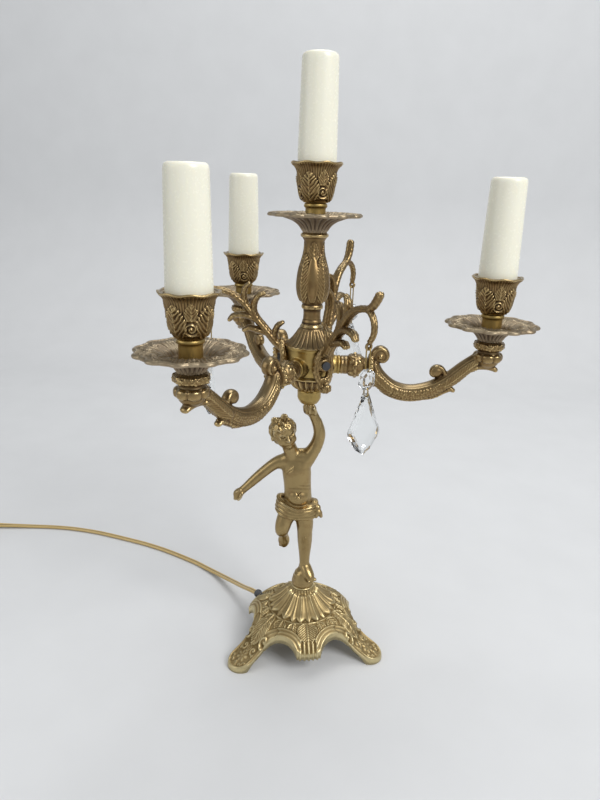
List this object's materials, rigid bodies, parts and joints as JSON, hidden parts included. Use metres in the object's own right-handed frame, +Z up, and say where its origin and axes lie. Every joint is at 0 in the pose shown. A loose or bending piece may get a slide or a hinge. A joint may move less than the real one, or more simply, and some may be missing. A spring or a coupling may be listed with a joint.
{
  "type": "candelabrum table lamp",
  "caption": "Cast brass candelabrum lamp: a child figure on a tripod base carries scrolled arms, candle sleeves, leafy branches and cut crystal drops.",
  "frame": {"origin": "point of the table under the lamp's axis, in the plane of the foot pads", "axes": "+Z up the lamp's axis, +X along the right arm, -Y towards the viewer in the picture"},
  "size_m": [0.5796, 0.2955, 0.437],
  "materials": {
    "cast_brass": "cast and chased, dark antique patina in the recesses",
    "base_brass": "cast, lighter sandy antique brass",
    "polished_brass": "turned and polished, a little tarnished",
    "thread_steel": "plain plated steel",
    "ivory_sleeve": "smooth ivory candle sleeve",
    "lampholder": "moulded off-white",
    "crystal": "clear cut crystal",
    "gold_flex": "gold twin flex, figure-of-eight section",
    "dark_plastic": "dark grey moulded plastic"
  },
  "bodies": {
    "lamp": {"figure": "cast_brass", "hub_bowl": "cast_brass", "hub_cover": "cast_brass", "stem": "cast_brass", "arm_front": "cast_brass", "arm_rear": "cast_brass", "arm_right": "cast_brass", "branch_front": "cast_brass", "branch_left": "cast_brass", "branch_rear": "cast_brass", "pan_front": "cast_brass", "pan_rear": "cast_brass", "pan_right": "cast_brass", "pan_centre": "cast_brass", "collar_front": "cast_brass", "collar_rear": "cast_brass", "collar_right": "cast_brass", "collar_centre": "cast_brass", "cup_front": "cast_brass", "cup_rear": "cast_brass", "cup_right": "cast_brass", "cup_centre": "cast_brass", "base": "base_brass", "base_mound": "base_brass", "hub_socket": "polished_brass", "hub_body": "polished_brass", "plug_pins": "polished_brass", "base_washer": "thread_steel", "base_nut": "thread_steel", "tie_rod": "thread_steel", "root_nipples": "thread_steel", "arm_nuts": "thread_steel", "arm_nipples": "thread_steel", "branch_screws": "thread_steel", "lampholder_front": "lampholder", "lampholder_rear": "lampholder", "lampholder_right": "lampholder", "lampholder_centre": "lampholder", "cord_run": "gold_flex", "cord_coil": "gold_flex", "grommet": "dark_plastic", "plug": "dark_plastic", "cord_tie": "dark_plastic"},
    "sleeve_front": {"sleeve_front": "ivory_sleeve"},
    "sleeve_rear": {"sleeve_rear": "ivory_sleeve"},
    "sleeve_right": {"sleeve_right": "ivory_sleeve"},
    "sleeve_centre": {"sleeve_centre": "ivory_sleeve"},
    "bead_front": {"long_link_front": "polished_brass", "bead_front": "crystal", "short_ring_front": "polished_brass"},
    "drop_front": {"drop_front": "crystal"},
    "bead_left": {"long_link_left": "polished_brass", "bead_left": "crystal", "short_ring_left": "polished_brass"},
    "drop_left": {"drop_left": "crystal"},
    "bead_rear": {"long_link_rear": "polished_brass", "bead_rear": "crystal", "short_ring_rear": "polished_brass"},
    "drop_rear": {"drop_rear": "crystal"}
  },
  "joints": [
    {"name": "sleeve_lift_front", "type": "slide", "parent": "lamp", "child": "sleeve_front", "axis": [0, 0, 1], "range_m": [0, 0.09]},
    {"name": "sleeve_lift_rear", "type": "slide", "parent": "lamp", "child": "sleeve_rear", "axis": [0, 0, 1], "range_m": [0, 0.09]},
    {"name": "sleeve_lift_right", "type": "slide", "parent": "lamp", "child": "sleeve_right", "axis": [0, 0, 1], "range_m": [0, 0.09]},
    {"name": "sleeve_lift_centre", "type": "slide", "parent": "lamp", "child": "sleeve_centre", "axis": [0, 0, 1], "range_m": [0, 0.09]},
    {"name": "bead_swing_front", "type": "hinge", "parent": "lamp", "child": "bead_front", "pos_m": [0.037, -0.06409, 0.26501], "axis": [0.5, -0.866, 0], "range_deg": [-25, 25]},
    {"name": "drop_swing_front", "type": "hinge", "parent": "bead_front", "child": "drop_front", "pos_m": [0.037, -0.06409, 0.23351], "axis": [0.5, -0.866, 0], "range_deg": [-30, 30]},
    {"name": "bead_swing_left", "type": "hinge", "parent": "lamp", "child": "bead_left", "pos_m": [-0.074, 0, 0.26501], "axis": [-1, 0, 0], "range_deg": [-25, 25]},
    {"name": "drop_swing_left", "type": "hinge", "parent": "bead_left", "child": "drop_left", "pos_m": [-0.074, 0, 0.23351], "axis": [-1, 0, 0], "range_deg": [-30, 30]},
    {"name": "bead_swing_rear", "type": "hinge", "parent": "lamp", "child": "bead_rear", "pos_m": [0.02911, 0.05041, 0.28634], "axis": [0.5, 0.866, 0], "range_deg": [-25, 25]},
    {"name": "drop_swing_rear", "type": "hinge", "parent": "bead_rear", "child": "drop_rear", "pos_m": [0.02911, 0.05041, 0.25484], "axis": [0.5, 0.866, 0], "range_deg": [-30, 30]}
  ]
}
